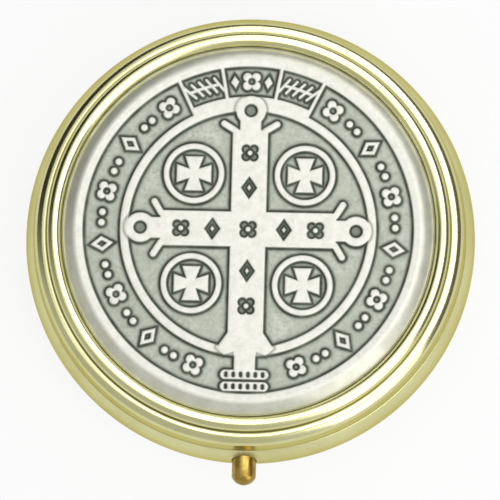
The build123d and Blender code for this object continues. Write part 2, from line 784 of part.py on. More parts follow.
# Bars between the top panels, the branches in the side ones, the flower in the middle one
with BuildSketch() as panels:
    for angle in (-top_band_angle, -panel_angle, panel_angle, top_band_angle):
        with Locations(on_circle((ring_outer + rim_inner) / 2, angle)):
            Rectangle(divider_width, band_width + divider_width, rotation=-angle)
    for side in (-1, 1):
        step = (branch_end - branch_start) / (branch_strokes - 1)
        for n in range(branch_strokes):
            angle = side * (branch_start + step * n)
            with Locations(on_circle(panel_middle, angle)):
                tilt = 90 - angle - side * branch_stroke_lean
                SlotOverall(branch_stroke[1], branch_stroke[0], rotation=tilt)
        for n in range(branch_strokes - 1):
            here = on_circle(panel_middle, side * (branch_start + step * n))
            there = on_circle(panel_middle, side * (branch_start + step * (n + 1)))
            add_stroke(here, there, branch_stem)
        angle = side * small_lozenge_angle
        add_lozenge(small_lozenge, on_circle(panel_middle, angle), angle)
    add_flower(band_flower, (0, panel_middle))

# Four roundels, each with a flared crosslet
with BuildSketch() as roundels:
    with GridLocations(2 * roundel_place, 2 * roundel_place, 2, 2):
        Circle(roundel_radius)
        Circle(roundel_radius - roundel_ring, mode=Mode.SUBTRACT)
        for turn in (0, 90, 180, 270):
            Polygon(
                (-crosslet_waist, 0),
                (crosslet_waist, 0),
                (crosslet_flare, crosslet_arm),
                (-crosslet_flare, crosslet_arm),
                rotation=turn,
                align=None,
            )

# Round the band: flowers and open lozenges in turn, with a pair of dots between
band_step = (band_end - band_start) / (band_count - 1)
with BuildSketch() as band:
    for side in (-1, 1):
        for n in range(band_count):
            angle = side * (band_start + band_step * n)
            place = on_circle(band_middle, angle)
            if n % 2:
                add_open_lozenge(lozenge_size, lozenge_stroke, place, angle)
            else:
                add_flower(band_flower, place, angle)
        for n in range(band_count - 1):
            angle = side * (band_start + band_step * (n + 0.5))
            spread = degrees(dot_spread / 2 / band_middle)
            with Locations(on_circle(band_middle, angle - spread), on_circle(band_middle, angle + spread)):
                Circle(dot_radius)

# Medal: a cast disc with a sloping border and a raised rim, and the relief inside it
with BuildPart() as medal:
    with BuildSketch(Plane.XZ):
        with BuildLine():
            edge_top = medal_under + medal_edge
            Line((0, medal_under), (medal_radius, medal_under))
            Line((medal_radius, medal_under), (medal_radius, edge_top))
            swell_x = (medal_radius + rim_outer) / 2 + border_round / 2
            swell_z = (edge_top + relief_top) / 2 + border_round / 2
            ThreePointArc((medal_radius, edge_top), (swell_x, swell_z), (rim_outer, relief_top))
            Polyline((rim_outer, relief_top), (rim_inner, relief_top), (rim_inner, ground), (0, ground))
            Line((0, ground), (0, medal_under))
        make_face()
    revolve(axis=Axis.Z)
    with BuildSketch(Plane.XY.offset(ground)):
        add(ring.sketch)
        add(cross_holes.sketch, mode=Mode.SUBTRACT)
        add(panels.sketch)
        add(roundels.sketch)
        add(band.sketch)
    extrude(amount=relief - cross_step)
    with BuildSketch(Plane.XY.offset(ground)):
        add(cross.sketch)
        add(cross_holes.sketch, mode=Mode.SUBTRACT)
    extrude(amount=relief)
write(medal, "medal")
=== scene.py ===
"""A round hinged pyx: a polished gold-plated case with a cast pewter medal in its lid."""

from math import asin, atan, atan2, cos, degrees, hypot, pi, radians, sin, sqrt

import bmesh
import bpy
import numpy as np
from mathutils import Matrix, Vector


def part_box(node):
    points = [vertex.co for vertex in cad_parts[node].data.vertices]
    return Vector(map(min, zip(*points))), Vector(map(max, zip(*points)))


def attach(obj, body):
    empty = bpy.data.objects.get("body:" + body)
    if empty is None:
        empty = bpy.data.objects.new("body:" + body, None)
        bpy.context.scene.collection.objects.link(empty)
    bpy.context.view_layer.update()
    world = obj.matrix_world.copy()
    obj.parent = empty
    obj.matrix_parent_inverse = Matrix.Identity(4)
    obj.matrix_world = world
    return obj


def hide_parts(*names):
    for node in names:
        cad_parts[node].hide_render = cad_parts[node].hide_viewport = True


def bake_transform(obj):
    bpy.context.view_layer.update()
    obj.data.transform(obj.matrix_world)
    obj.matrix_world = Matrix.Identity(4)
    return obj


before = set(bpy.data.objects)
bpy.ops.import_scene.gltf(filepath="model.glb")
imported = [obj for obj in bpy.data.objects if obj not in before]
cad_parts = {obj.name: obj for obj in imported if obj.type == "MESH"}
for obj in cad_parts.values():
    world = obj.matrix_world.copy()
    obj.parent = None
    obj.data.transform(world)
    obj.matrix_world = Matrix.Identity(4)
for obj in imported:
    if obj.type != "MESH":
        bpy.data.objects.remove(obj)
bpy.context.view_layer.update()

MM = 0.001  # sizes below are in millimetres, the scene is in metres


def node_box(node):
    """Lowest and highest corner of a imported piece, in millimetres."""
    low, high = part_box(node)
    return low / MM, high / MM


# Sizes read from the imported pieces
shell_high = node_box("base_shell")[1]
lid_low, lid_high = node_box("lid_shell")
liner_low, liner_high = node_box("base_liner")
plate_low, plate_high = node_box("lid_liner")
medal_low, medal_high = node_box("medal")
button_low, button_high = node_box("push_button")
pin_low, pin_high = node_box("hinge_pin")
base_leaf_low, base_leaf_high = node_box("base_hinge_leaf")
lid_leaf_high = node_box("lid_hinge_leaf")[1]
catch_low, catch_high = node_box("lid_catch")
latch_low, latch_high = node_box("latch_spring")

case_radius = shell_high.x
base_height = shell_high.z
rim_radius = lid_high.x
lid_rim = lid_low.z
bead_crest = lid_high.z
sheet = liner_low.z
collar_top = liner_high.z
plate_under = plate_low.z
shoulder_under = plate_high.z
plate_radius = plate_high.x
medal_radius = medal_high.x
medal_under = medal_low.z
relief_top = medal_high.z
button_radius = button_high.x
button_height = (button_low.z + button_high.z) / 2
hinge_y = (pin_low.y + pin_high.y) / 2
hinge_z = (pin_low.z + pin_high.z) / 2
pin_radius = (pin_high.z - pin_low.z) / 2
barrel_radius = (base_leaf_high.z - base_leaf_low.z) / 2

# Case
belly_height = 4.8
skirt_height = 1.85
skirt_lean = 0.25
skirt_bulge = 0.04
shoulder_round = 1.3
shoulder_inner_round = 0.4
shoulder_width = 1.6
bead_radius = 0.9
recess_depth = 1.3
crease_round = 0.12
edge_round = 0.1
button_bore_gap = 0.07
notch_side_gap = 0.7
notch_gap = 0.15
lid_notch_rise = 1.0
lid_relief = 0.25
lid_relief_gap = 0.3
case_segments = 288
bore_segments = 96
cut_reach = 1.0  # how far a cutter stands out of what it cuts
cut_crease = 38.0  # a cut edge stays crisp from this angle on

# Liners, hinge and latch
liner_sheet = 0.4
well_corner = 1.6
collar_gap = 0.3
ledge_drop = 0.15
slot_clearance = 0.25
leaf_clearance = 0.1
base_leaf_strip = 0.7
lid_leaf_shoulder = 1.0
lid_knuckle = 1.2
knuckle_gap = 0.1
catch_sheet = 0.45
catch_lip = 0.5
latch_sheet = 0.3
latch_gap = 0.1

wall_rise = base_height - belly_height
belly_lean = case_radius - rim_radius
wall_radius = (belly_lean**2 + wall_rise**2) / (2 * belly_lean)
wall_centre = case_radius - wall_radius
foot_radius = case_radius - belly_height
skirt_top = lid_rim + skirt_height
shoulder_radius = rim_radius - skirt_lean
shoulder_top = skirt_top + shoulder_round
shoulder_crest = shoulder_radius - shoulder_round
shoulder_inner_edge = shoulder_radius - sheet - shoulder_inner_round
crease_radius = shoulder_radius - shoulder_width
bead_centre_height = bead_crest - bead_radius
bead_centre = crease_radius - bead_radius
recess_radius = bead_centre - bead_radius
panel_top = bead_crest - recess_depth
panel_under = panel_top - sheet
ledge_top = base_height - ledge_drop
ledge_under = ledge_top - liner_sheet
collar_radius = base_leaf_low.y - leaf_clearance
fold_radius = liner_sheet + collar_gap / 2
fold_centre = collar_radius - fold_radius
fold_height = collar_top - fold_radius
well_radius = fold_centre - fold_radius
notch_half = pin_high.x + notch_side_gap
lid_knuckle_end = lid_leaf_high.x - lid_leaf_shoulder
catch_lip_in = catch_low.y + catch_sheet + catch_lip


def wall_inside(height):
    """Inner radius of the base's wall at a height above the belly."""
    return wall_centre + sqrt((wall_radius - sheet) ** 2 - (height - belly_height) ** 2)


class Value:
    """A number that changes over a surface: sums on it add the nodes that work it out."""

    def __init__(self, nodes, socket):
        self.nodes = nodes
        self.socket = socket

    def math(self, operation, *numbers):
        return self.nodes.add("ShaderNodeMath", {"operation": operation}, dict(enumerate(numbers)))

    def __add__(self, other):
        return self.math("ADD", self, other)

    def __sub__(self, other):
        return self.math("SUBTRACT", self, other)

    def __rsub__(self, other):
        return self.math("SUBTRACT", other, self)

    def __mul__(self, other):
        return self.math("MULTIPLY", self, other)

    __radd__ = __add__
    __rmul__ = __mul__

    def __truediv__(self, other):
        return self.math("DIVIDE", self, other)

    def __pow__(self, other):
        return self.math("POWER", self, other)

    def step(self, low, high):
        """0 below low, 1 above high and a smooth rise between them."""
        settings = {"interpolation_type": "SMOOTHSTEP"}
        return self.nodes.add("ShaderNodeMapRange", settings, {0: self, 1: low, 2: high})


class Nodes:
    """The node tree of a material or of the world."""

    def __init__(self, owner):
        owner.use_nodes = True
        self.tree = owner.node_tree

    def put(self, socket, value):
        if isinstance(value, Value):
            self.tree.links.new(value.socket, socket)
        else:
            socket.default_value = value

    def add(self, kind, settings, sockets, output=0):
        """A node of a kind, with its settings and its sockets' values or links."""
        node = self.tree.nodes.new(kind)
        for name, setting in settings.items():
            setattr(node, name, setting)
        for socket, value in sockets.items():
            self.put(node.inputs[socket], value)
        return Value(self, node.outputs[output])

    def axes(self, place):
        """The three coordinates of a place, each as a value."""
        return [self.add("ShaderNodeSeparateXYZ", {}, {0: place}, axis) for axis in "XYZ"]

    def rays(self, *kinds):
        """1 where a ray of one of these kinds arrives, 0 where another does."""
        return sum(self.add("ShaderNodeLightPath", {}, {}, f"Is {kind} Ray") for kind in kinds)

    def mix(self, share, first, second):
        """A colour that goes from first to second as share goes from 0 to 1."""
        return self.add("ShaderNodeMix", {"data_type": "RGBA"}, {0: share, 6: first, 7: second}, 2)

    def noise(self, place, scale, detail, roughness=0.5):
        sockets = {"Vector": place, "Scale": scale, "Detail": detail, "Roughness": roughness}
        return self.add("ShaderNodeTexNoise", {}, sockets)

    def bump(self, height, depth, strength):
        """Fine unevenness of a depth in millimetres."""
        sockets = {"Height": height, "Distance": depth * MM, "Strength": strength}
        return self.add("ShaderNodeBump", {}, sockets)


class Finish(Nodes):
    """A material with one principled surface."""

    def __init__(self, name):
        self.material = bpy.data.materials.new(name)
        super().__init__(self.material)
        self.surface = self.tree.nodes["Principled BSDF"]
        self.place = self.add("ShaderNodeTexCoord", {}, {}, "Object")
        self.x, self.y, self.z = self.axes(self.place)

    def radius(self):
        """Distance from the upright axis, in metres."""
        return (self.x * self.x + self.y * self.y) ** 0.5

    def polish_marks(self, rings_per_mm, streak):
        """Noise drawn out along the rings that a buffing wheel leaves."""
        ring = self.radius() / MM * rings_per_mm
        level = self.z / MM * rings_per_mm
        turn = self.y.math("ARCTAN2", self.y, self.x) * streak
        place = self.add("ShaderNodeCombineXYZ", {}, {0: ring, 1: level, 2: turn})
        return self.noise(place, 1.0, 2.0)

    def set(self, **sockets):
        """Give the surface's sockets, named with _ for a space, their values or links."""
        for name, value in sockets.items():
            self.put(self.surface.inputs[name.replace("_", " ")], value)
        return self.material


def shade(red, green, blue):
    """A colour given as it shows on a screen, from 0 to 255, as light."""
    levels = [level / 255 for level in (red, green, blue)]
    light = [c / 12.92 if c < 0.04045 else ((c + 0.055) / 1.055) ** 2.4 for c in levels]
    return (*light, 1.0)


# Where the painted crease shade and the dull plate set in and end, in millimetres
crease_shade_reach = (0.08, 0.34)  # from the crease, in and out
crease_shade_foot = (-0.2, -0.1)  # above the shoulder's top
crease_shade_head = (0.15, 0.3)
dull_wall = (-0.8, 0.4)  # above the skirt's top


def bright_gold():
    """Pale gold plate: bright on top, duller down the walls, with painted shade darkening the crease."""
    finish = Finish("bright gold plate")
    pale, warm, dark = shade(214, 211, 163), shade(204, 200, 147), shade(66, 60, 16)
    haze = finish.noise(finish.place, 140.0, 4.0, 0.6)
    scratches = finish.polish_marks(5.0, 30.0)
    from_crease = finish.radius() / MM - crease_radius
    # painted shade: the plate's colour goes dark along the crease between the bead and the shoulder, which
    # is also made rougher
    in_crease = 1 - from_crease.math("ABSOLUTE", from_crease).step(*crease_shade_reach)
    above = finish.z / MM - shoulder_top
    crease_shade = in_crease * above.step(*crease_shade_foot) * (1 - above.step(*crease_shade_head))
    walls = 1 - (finish.z / MM - skirt_top).step(*dull_wall)
    polish = 0.18 + 0.06 * haze.step(0.35, 0.8) + 0.05 * scratches.step(0.5, 0.8)
    return finish.set(
        Base_Color=finish.mix(0.75 * crease_shade, finish.mix(haze.step(0.3, 0.75), pale, warm), dark),
        Metallic=1.0,
        Roughness=polish + 0.12 * walls + 0.3 * crease_shade,
        Specular_Tint=shade(218, 210, 152),
        Normal=finish.bump(scratches, 0.01, 0.05),
    )


def satin_gold():
    """Inner gold: spun, with fine turning lines and a soft sheen."""
    finish = Finish("satin gold plate")
    pale, warm = shade(214, 204, 146), shade(202, 189, 124)
    lines = finish.polish_marks(16.0, 1.2)
    haze = finish.noise(finish.place, 90.0, 4.0, 0.6)
    return finish.set(
        Base_Color=finish.mix(haze.step(0.3, 0.75), pale, warm),
        Metallic=1.0,
        Roughness=0.24 + 0.1 * lines.step(0.3, 0.7),
        Normal=finish.bump(lines, 0.02, 0.35),
    )


def button_brass():
    """Turned brass of the button, warmer and browner than the plate."""
    finish = Finish("turned brass")
    clean, brown = shade(178, 150, 78), shade(142, 114, 48)
    grain = finish.noise(finish.place, 2500.0, 2.0)
    stain = finish.noise(finish.place, 700.0, 5.0, 0.65)
    return finish.set(
        Base_Color=finish.mix(stain.step(0.35, 0.7), clean, brown),
        Metallic=1.0,
        Roughness=0.26 + 0.14 * stain.step(0.4, 0.75),
        Normal=finish.bump(grain, 0.02, 0.15),
    )


def spring_steel():
    """Drawn spring wire and strip: grey, finely grained, with a heat tint."""
    finish = Finish("spring steel")
    grey, tinted = shade(176, 178, 180), shade(150, 140, 124)
    grain = finish.noise(finish.place, 5200.0, 2.0)
    heat = finish.noise(finish.place, 800.0, 3.0)
    return finish.set(
        Base_Color=finish.mix(heat.step(0.35, 0.7), grey, tinted),
        Metallic=1.0,
        Roughness=0.24 + 0.14 * grain,
        Normal=finish.bump(grain, 0.01, 0.25),
    )


def cement():
    """Grey-white setting cement, dull and grainy."""
    finish = Finish("setting cement")
    pale, grey = shade(198, 192, 176), shade(160, 154, 140)
    grain = finish.noise(finish.place, 3000.0, 4.0)
    return finish.set(
        Base_Color=finish.mix(grain, pale, grey),
        Roughness=0.8 + 0.1 * grain,
        Normal=finish.bump(grain, 0.04, 0.5),
    )


def antique_pewter():
    """Cast pewter: grey ground with painted shade near its raised edges, soot with painted shade in its
    corners, rubbed bright on what stands up, satin border.
    """
    finish = Finish("antique pewter")
    rise, soot_and_shade, recess_shade, border = [
        finish.add("ShaderNodeAttribute", {"attribute_name": name}, {}, "Fac")
        for name in ("rise", "soot_and_shade", "recess_shade", "border")
    ]
    cloud = finish.noise(finish.place, 420.0, 5.0, 0.62)
    grain = finish.noise(finish.place, 2200.0, 4.0, 0.6)
    scratches = finish.noise(finish.place, 900.0, 6.0, 0.75)
    rubbed = (rise + 0.12 * (scratches - 0.5)).step(0.55, 0.95)
    dull = finish.mix(cloud.step(0.3, 0.72), shade(193, 198, 182), shade(221, 223, 211))
    pitted = finish.mix(grain.step(0.4, 0.75), dull, shade(177, 183, 166))
    # painted shade: the ground goes darker near raised edges and in narrow pockets, as if in their shadow
    shaded = finish.mix(recess_shade * (0.2 + 0.8 * cloud), pitted, shade(126, 134, 115))
    # soot with painted shade: near-black at the foot of raised edges, along the cross's seam and in its
    # holes
    stained_and_shaded = finish.mix((soot_and_shade * (0.55 + 0.8 * cloud)).step(0.1, 1.0), shaded, shade(50, 58, 43))
    polished = finish.mix(scratches.step(0.35, 0.7), shade(246, 245, 234), shade(230, 229, 217))
    satin = finish.mix(cloud.step(0.3, 0.7), shade(209, 209, 195), shade(191, 191, 176))
    return finish.set(
        Base_Color=finish.mix(border, finish.mix(rubbed, stained_and_shaded, polished), satin),
        Metallic=0.04 + 0.38 * border,
        Specular_IOR_Level=0.3,
        Roughness=0.52 - 0.08 * rubbed - 0.16 * border + 0.08 * grain,
        Normal=finish.bump(grain * (1 - rubbed) + 0.35 * scratches, 0.06, 0.5),
    )


gold = bright_gold()
inner_gold = satin_gold()
brass = button_brass()
steel = spring_steel()
bedding = cement()
pewter = antique_pewter()


# Mesh helpers

def arc(centre, radius, start, end, steps):
    """Points on an arc, from one angle to another, in degrees."""
    turns = np.radians(np.linspace(start, end, steps + 1))
    return [(centre[0] + radius * cos(turn), centre[1] + radius * sin(turn)) for turn in turns]


sharp_corner = 25.0  # a corner that turns by less is left as it is
ease_limit = 0.4  # the most of a side that a rounded corner takes
ease_guard = 1.8  # an extra point at this many reaches keeps a long side flat
ease_long = 4.0  # a side of more reaches than this counts as long
ease_shares = (0.0, 0.2, 0.4, 0.6, 0.8, 1.0)


def eased(outline, round_radius=edge_round):
    """A closed outline with its sharp corners rounded off, apart from those on the axis."""
    corners = [Vector(point) for point in outline]
    eased_points = []
    for n, corner in enumerate(corners):
        before = corners[n - 1] - corner
        after = corners[(n + 1) % len(corners)] - corner
        turn = pi - before.angle(after)
        if degrees(turn) < sharp_corner or corner.x < round_radius:
            eased_points.append(corner)
            continue
        full_reach = round_radius * sin(turn / 2) / cos(turn / 2)
        reach = min(full_reach, ease_limit * before.length, ease_limit * after.length)
        start = corner + before.normalized() * reach
        end = corner + after.normalized() * reach
        if before.length > ease_long * reach:
            eased_points.append(corner + before.normalized() * ease_guard * reach)
        for share in ease_shares:
            near = start.lerp(corner, share)
            far = corner.lerp(end, share)
            eased_points.append(near.lerp(far, share))
        if after.length > ease_long * reach:
            eased_points.append(corner + after.normalized() * ease_guard * reach)
    return [(point.x, point.y) for point in eased_points]


def dome(radius, rise, steps):
    """Outline of a low dome, from its top on the axis at height 0 to its edge."""
    ball = (radius**2 + rise**2) / (2 * rise)
    swing = degrees(asin(radius / ball))
    return arc((0, ball), ball, -90, swing - 90, steps)


def turned(outline, segments):
    """Rings of points, in millimetres, from an outline of (radius, height) turned round the axis."""
    outline = np.array(outline)
    angles = np.linspace(0, 2 * pi, segments, endpoint=False)
    x = outline[:, 0, None] * np.cos(angles)
    y = outline[:, 0, None] * np.sin(angles)
    z = np.repeat(outline[:, 1, None], segments, axis=1)
    return np.stack([x, y, z], axis=2)


def unrolled(outline, segments):
    """Bake coordinates for turned points: round the axis and along the outline."""
    steps = np.hypot(*(np.roll(outline, -1, axis=0) - np.array(outline)).T)
    along = np.concatenate([[0], np.cumsum(steps)]) / np.sum(steps)
    around = np.linspace(0, 1, segments + 1)
    u = np.repeat(around[None], len(along), axis=0)
    v = np.repeat(along[:, None], segments + 1, axis=1)
    return np.stack([u, v], axis=2)


def ring_mesh(name, rings, bake, marks=None):
    """A closed mesh from rings of points, each joined to the next and the last to the first."""
    count, segments = rings.shape[:2]
    i = np.repeat(np.arange(count), segments)
    j = np.tile(np.arange(segments), count)
    next_i = (i + 1) % count
    next_j = (j + 1) % segments
    corners = [i * segments + j, i * segments + next_j, next_i * segments + next_j, next_i * segments + j]
    mesh = bpy.data.meshes.new(name)
    mesh.from_pydata(rings.reshape(-1, 3) * MM, [], np.stack(corners, axis=1).tolist())
    flat = np.stack([bake[i, j], bake[i, j + 1], bake[i + 1, j + 1], bake[i + 1, j]], axis=1)
    mesh.uv_layers.new(name="OFBake").data.foreach_set("uv", flat.ravel())
    for mark, values in (marks or {}).items():
        mesh.attributes.new(mark, "FLOAT", "POINT").data.foreach_set("value", values.ravel())
    return cleaned(mesh)


join_gap = 0.00001


def cleaned(mesh):
    """The mesh with its meeting points joined, its faces turned outwards and its shading smooth."""
    work = bmesh.new()
    work.from_mesh(mesh)
    bmesh.ops.remove_doubles(work, verts=work.verts, dist=join_gap * MM)
    bmesh.ops.recalc_face_normals(work, faces=work.faces)
    work.to_mesh(mesh)
    work.free()
    mesh.shade_smooth()
    return mesh


def put_in_scene(name, data):
    thing = bpy.data.objects.new(name, data)
    bpy.context.scene.collection.objects.link(thing)
    return thing


def add_piece(mesh, finish):
    mesh.materials.append(finish)
    return put_in_scene(mesh.name, mesh)


def turned_piece(name, outline, finish):
    """A piece of the case, turned from a closed outline with eased corners."""
    outline = eased(outline)
    mesh = ring_mesh(name, turned(outline, case_segments), unrolled(outline, case_segments))
    return add_piece(mesh, finish)


def carry(piece, body, node):
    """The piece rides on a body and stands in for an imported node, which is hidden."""
    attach(piece, body)
    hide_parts(node)


def bend(piece, node):
    """The piece stands in for an imported node, which is hidden, and its place is baked into its mesh; it
    rides on no body.
    """
    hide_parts(node)
    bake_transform(piece)


def block(low, high):
    """A cutter in the shape of a box."""
    work = bmesh.new()
    size = Vector(high) - Vector(low)
    middle = (Vector(high) + Vector(low)) / 2
    place = Matrix.Translation(middle * MM) @ Matrix.Diagonal((*(size * MM), 1))
    bmesh.ops.create_cube(work, size=1.0, matrix=place)
    return cutter(work)


def bore(radius, front, back, height):
    """A cutter in the shape of a drill that enters along Y."""
    work = bmesh.new()
    middle = Vector((0, (front + back) / 2, height)) * MM
    place = Matrix.Translation(middle) @ Matrix.Rotation(pi / 2, 4, "X")
    bmesh.ops.create_cone(
        work, cap_ends=True, segments=bore_segments, radius1=radius * MM, radius2=radius * MM,
        depth=abs(back - front) * MM, matrix=place,
    )
    return cutter(work)


def cutter(work):
    mesh = bpy.data.meshes.new("cutter")
    work.to_mesh(mesh)
    work.free()
    return put_in_scene("cutter", mesh)


def cut(piece, *cutters):
    """Take the cutters out of the piece, and keep the cut edges crisp."""
    for tool in cutters:
        step = piece.modifiers.new("cut", "BOOLEAN")
        step.operation = "DIFFERENCE"
        step.solver = "EXACT"
        step.object = tool
    seen = piece.evaluated_get(bpy.context.evaluated_depsgraph_get())
    whole = piece.data
    piece.data = bpy.data.meshes.new_from_object(seen)
    piece.data.name = piece.name
    piece.modifiers.clear()
    bpy.data.meshes.remove(whole)
    for tool in cutters:
        bpy.data.objects.remove(tool)
    piece.data.set_sharp_from_angle(angle=radians(cut_crease))


# Case

def base_shell_outline():
    rise = degrees(atan2(wall_rise, wall_radius - belly_lean))
    lean = degrees(atan2(wall_rise, wall_inside(base_height) - wall_centre))
    return [
        (0, 0),
        (foot_radius / 2, 0),
        *arc((foot_radius, belly_height), belly_height, 270, 360, 24),
        *arc((wall_centre, belly_height), wall_radius, 0, rise, 16)[1:],
        *arc((wall_centre, belly_height), wall_radius - sheet, lean, 0, 12),
        *arc((foot_radius, belly_height), belly_height - sheet, 360, 270, 16)[1:],
        (foot_radius / 2, sheet),
        (0, sheet),
    ]


def make_base_shell():
    shell = turned_piece("base_shell_plated", base_shell_outline(), gold)
    outside = case_radius + cut_reach
    notch_floor = hinge_z - barrel_radius - notch_gap
    cut(
        shell,
        bore(button_radius + button_bore_gap, -outside, -wall_centre, button_height),
        block((-notch_half, collar_radius, notch_floor), (notch_half, outside, base_height + cut_reach)),
    )
    carry(shell, "base", "base_shell")


def lid_shell_outline():
    skirt_middle = ((rim_radius + shoulder_radius) / 2 + skirt_bulge, (skirt_top + lid_rim) / 2)
    skirt = curve_through((shoulder_radius, skirt_top), skirt_middle, (rim_radius, lid_rim), 8)
    groove_half = bead_radius - sheet
    crease = (crease_radius + crease_round, shoulder_top + crease_round)
    inner_round = (shoulder_inner_edge, shoulder_under - shoulder_inner_round)
    return [
        (0, panel_top),
        (recess_radius / 2, panel_top),
        (recess_radius, panel_top),
        *arc((bead_centre, bead_centre_height), bead_radius, 180, 0, 36),
        *arc(crease, crease_round, 180, 270, 6),
        *arc((shoulder_crest, skirt_top), shoulder_round, 90, 0, 24),
        *skirt[1:],
        (rim_radius - sheet, lid_rim),
        *arc(inner_round, shoulder_inner_round, 0, 90, 6),
        (bead_centre + groove_half, shoulder_under),
        *arc((bead_centre, bead_centre_height), groove_half, 0, 180, 12),
        (bead_centre - groove_half, panel_under),
        (bead_centre / 2, panel_under),
        (0, panel_under),
    ]


def curve_through(start, middle, end, steps):
    """Points on the arc through three points."""
    ax, ay = start
    bx, by = middle
    cx, cy = end
    d = 2 * (ax * (by - cy) + bx * (cy - ay) + cx * (ay - by))
    a2, b2, c2 = ax * ax + ay * ay, bx * bx + by * by, cx * cx + cy * cy
    centre = (
        (a2 * (by - cy) + b2 * (cy - ay) + c2 * (ay - by)) / d,
        (a2 * (cx - bx) + b2 * (ax - cx) + c2 * (bx - ax)) / d,
    )
    first = degrees(atan2(ay - centre[1], ax - centre[0]))
    last = degrees(atan2(cy - centre[1], cx - centre[0]))
    return arc(centre, hypot(ax - centre[0], ay - centre[1]), first, last, steps)


def make_lid_shell():
    lid = turned_piece("lid_shell_plated", lid_shell_outline(), gold)
    outside = case_radius + cut_reach
    below = lid_rim - cut_reach
    notch_top = hinge_z + barrel_radius + lid_notch_rise
    relief_half = sqrt(rim_radius**2 - hinge_y**2) + lid_relief_gap
    relief_roof = lid_rim + lid_relief
    cut(
        lid,
        block((-notch_half, collar_radius, below), (notch_half, outside, notch_top)),
        block((-relief_half, collar_radius, below), (relief_half, outside, relief_roof)),
    )
    carry(lid, "lid", "lid_shell")


def make_base_liner():
    floor_top = sheet + liner_sheet
    corner = (well_radius - well_corner, floor_top + well_corner)
    outline = [
        (0, sheet),
        (corner[0] / 2, sheet),
        *arc(corner, well_corner + liner_sheet, 270, 360, 12),
        *arc((fold_centre, fold_height), collar_gap / 2, 180, 0, 8),
        (collar_radius - liner_sheet, ledge_under),
        (liner_high.x, ledge_under),
        (liner_high.x, ledge_top),
        (collar_radius, ledge_top),
        *arc((fold_centre, fold_height), fold_radius, 0, 180, 16),
        *arc(corner, well_corner, 360, 270, 12),
        (corner[0] / 2, floor_top),
        (0, floor_top),
    ]
    liner = turned_piece("base_liner_spun", outline, inner_gold)
    slot_half = catch_high.x + slot_clearance
    slot_low = (-slot_half, catch_low.y - slot_clearance, ledge_under - edge_round)
    slot_high = (slot_half, catch_lip_in + slot_clearance, ledge_top + edge_round)
    relief_half = lid_knuckle_end + knuckle_gap
    relief_front = hinge_y - barrel_radius / 2 - leaf_clearance / 2
    relief_low = (-relief_half, relief_front, ledge_under - edge_round)
    relief_high = (relief_half, case_radius, ledge_top + edge_round)
    cut(liner, block(slot_low, slot_high), block(relief_low, relief_high))
    carry(liner, "base", "base_liner")


def make_lid_liner():
    plate_top = plate_under + liner_sheet
    outline = [
        (0, plate_under),
        (plate_radius / 2, plate_under),
        (plate_radius, plate_under),
        (plate_radius, shoulder_under),
        (plate_radius - liner_sheet, shoulder_under),
        (plate_radius - liner_sheet, plate_top),
        (plate_radius / 2, plate_top),
        (0, plate_top),
    ]
    plate = turned_piece("lid_liner_spun", outline, inner_gold)
    carry(plate, "lid", "lid_liner")


make_base_shell()
make_lid_shell()
make_base_liner()
make_lid_liner()


# Push button

button_dome = 1.0
button_neck_radius = 0.85
button_stem_radius = 0.5
button_head_radius = 0.75
button_edge = 0.16
button_segments = 128


def make_button():
    """The button turned upright, then laid along Y with its dome to the front."""
    length = button_high.y - button_low.y
    cap = -wall_inside(button_height + button_radius) - button_low.y
    strip = latch_low.y - button_low.y
    head = strip + latch_sheet
    outline = [
        *dome(button_radius, button_dome, 16),
        (button_radius, cap),
        (button_neck_radius, cap),
        (button_neck_radius, strip),
        (button_stem_radius, strip),
        (button_stem_radius, head),
        (button_head_radius, head),
        (button_head_radius, length),
        (0, length),
    ]
    outline = eased(outline, button_edge)
    x, y, z = np.moveaxis(turned(outline, button_segments), 2, 0)
    laid = np.stack([x, button_low.y + z, button_height - y], axis=2)
    mesh = ring_mesh("push_button_turned", laid, unrolled(outline, button_segments))
    carry(add_piece(mesh, brass), "button", "push_button")


make_button()


# Medal

border_slope = 1.7
border_round = 0.2
relief = 0.4
medal_edge = 0.5
medal_gap = 0.03
rim_width = 0.85
band_width = 4.35
ring_width = 1.05
top_band_step = 0.8
top_band_angle = 26.0
panel_angle = 10.4
divider_width = 0.5

bar_width = 4.3
boss_radius = 1.82
boss_hole_radius = 0.75
boss_inset = 1.4
top_boss_rise = 0.1
neck_width = 2.6
neck_length = 2.3
horn_width = 0.85
horn_root = (2.45, 1.8)
horn_tip = (1.62, 3.15)
fork_height = 1.85
fork_reach = 3.4
fork_cut = 0.92
fork_notch = 0.4
shaft_width = 2.6
rope_width = 5.8
rope_height = 1.2
rope_pitch = 1.42
rope_inset = 0.2
rope_holes = 6
rope_hole_pitch = 0.87
rope_hole_size = (0.34, 0.62)
bar_overlap = 1.0
mark_lozenge = (1.8, 2.6)
mark_stroke = 0.5
mark_flower = (0.64, 0.52, 0.34)
marks_across = (4.25, 8.0)
marks_along = (5.0, 9.2)

roundel_place = 6.6
roundel_radius = 3.65
roundel_ring = 0.75
crosslet_arm = 2.1
crosslet_waist = 0.42
crosslet_flare = 1.15
band_start = 34.0
band_end = 159.5
band_count = 7
dot_radius = 0.45
dot_spread = 1.25
band_flower = (0.72, 0.58, 0.4)
lozenge_size = (1.9, 2.9)
lozenge_stroke = 0.5
branch_start = 12.6
branch_end = 24.2
branch_strokes = 5
branch_stroke = (0.42, 2.3)
branch_stroke_lean = 28.0
branch_stem = 0.45
small_lozenge = (1.1, 1.7)
small_lozenge_angle = 6.4

rim_outer = medal_radius - border_slope
rim_inner = rim_outer - rim_width
ring_outer = rim_inner - band_width
ring_inner = ring_outer - ring_width
band_middle = (ring_outer + rim_inner) / 2
panel_inner = ring_outer + top_band_step
panel_middle = (panel_inner + rim_inner) / 2
side_boss = ring_inner - boss_inset
top_boss = ring_inner + top_boss_rise
rope_low = rim_inner - rope_height / 2 - rope_inset
rope_high = rope_low - rope_pitch
fork_top = ring_inner - fork_height

